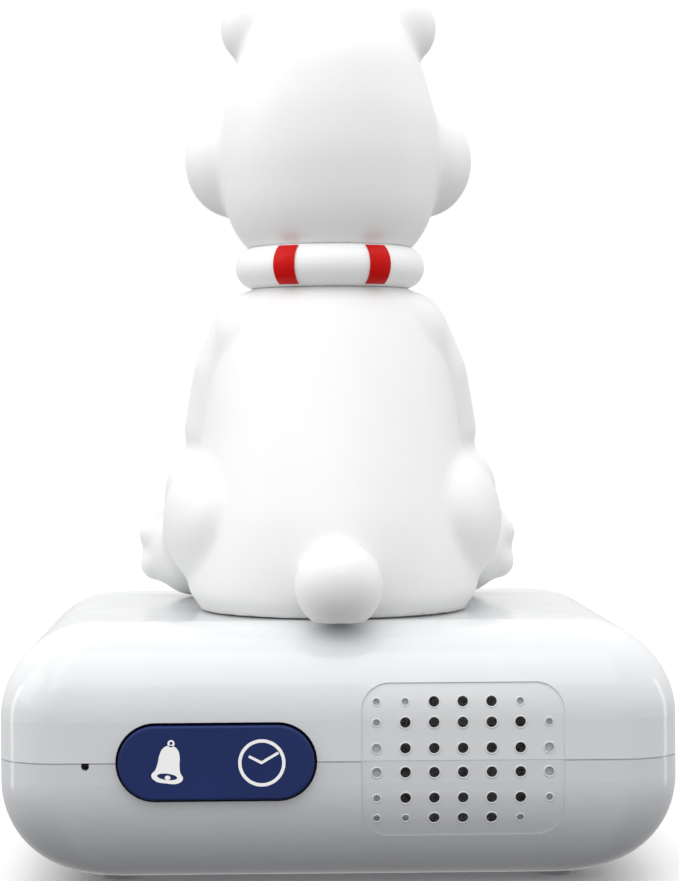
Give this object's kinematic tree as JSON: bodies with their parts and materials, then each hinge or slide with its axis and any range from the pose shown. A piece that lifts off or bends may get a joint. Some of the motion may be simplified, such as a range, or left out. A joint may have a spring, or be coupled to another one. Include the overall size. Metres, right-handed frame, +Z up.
{
  "type": "digital alarm clock",
  "caption": "Pillow-shaped white alarm clock with a front display, a rear rocker key and speaker grille, and a seated bear night light on top.",
  "frame": {"origin": "on the table, under the middle of the base", "axes": "+Z up, -Y to the display side, +X to the right of someone facing the display"},
  "size_m": [0.12, 0.1228, 0.1661],
  "materials": {
    "white_gloss": "glossy moulded",
    "white_vinyl": "satin, slightly translucent",
    "navy": "satin",
    "red_gloss": "glossy",
    "clear_window": "polished",
    "lcd_glass": "polished",
    "white_diffuser": "matt",
    "board_green": "lacquered",
    "steel": "plated",
    "grey_rubber": "matt",
    "silicone": "matt",
    "black_plastic": "matt",
    "black_cloth": "felt",
    "ferrite": "sintered",
    "cell_wrap": "printed film, plain",
    "led_clear": "clear epoxy"
  },
  "bodies": {
    "case": {"lower_shell": "white_gloss", "upper_shell": "white_gloss", "bear_body": "white_vinyl", "bear_head": "white_vinyl", "neck_ring": "white_vinyl", "display_bezel": "navy", "neck_ring_bands": "red_gloss", "display_lens": "clear_window", "lcd_panel": "lcd_glass", "lcd_backlight": "white_diffuser", "figure_base_plate": "white_diffuser", "main_board": "board_green", "key_board": "board_green", "snooze_board": "board_green", "lamp_board": "board_green", "case_screws": "steel", "rocker_pin": "steel", "key_board_screws": "steel", "main_board_screws": "steel", "battery_plates": "steel", "battery_springs": "steel", "snooze_board_screws": "steel", "lamp_board_screws": "steel", "figure_screws": "steel", "speaker_frame": "steel", "rubber_feet": "grey_rubber", "rear_keypad": "silicone", "snooze_keypad": "silicone", "rocker_carrier": "black_plastic", "reset_switch": "black_plastic", "clock_chip": "black_plastic", "speaker_cone": "black_plastic", "grille_cloth": "black_cloth", "speaker_gasket": "black_cloth", "speaker_magnet": "ferrite", "battery_cells": "cell_wrap", "lamp_leds": "led_clear"},
    "rocker": {"rocker_key": "navy"},
    "snooze": {"snooze_key": "navy"},
    "reset": {"reset_plunger": "black_plastic"},
    "battery_cover": {"battery_door": "white_gloss", "battery_door_screw": "steel"}
  },
  "joints": [
    {"name": "rocker_tilt", "type": "hinge", "parent": "case", "child": "rocker", "pos_m": [0.0217, 0.0535, 0.0235], "axis": [0, 0, 1], "range_deg": [-2.2, 2.2], "stiffness_Nm_per_rad": 0.5, "deforming": ["rear_keypad"]},
    {"name": "snooze_press", "type": "slide", "parent": "case", "child": "snooze", "axis": [0, 0, -1], "range_m": [0, 0.0012], "stiffness_N_per_m": 1500, "deforming": ["snooze_keypad"]},
    {"name": "reset_press", "type": "slide", "parent": "case", "child": "reset", "axis": [0, -1, 0], "range_m": [0, 0.00025], "stiffness_N_per_m": 3000},
    {"name": "battery_cover_tip", "type": "hinge", "parent": "case", "child": "battery_cover", "pos_m": [-0.03025, 0, 0.0012], "axis": [0, 1, 0], "range_deg": [0, 80]}
  ]
}
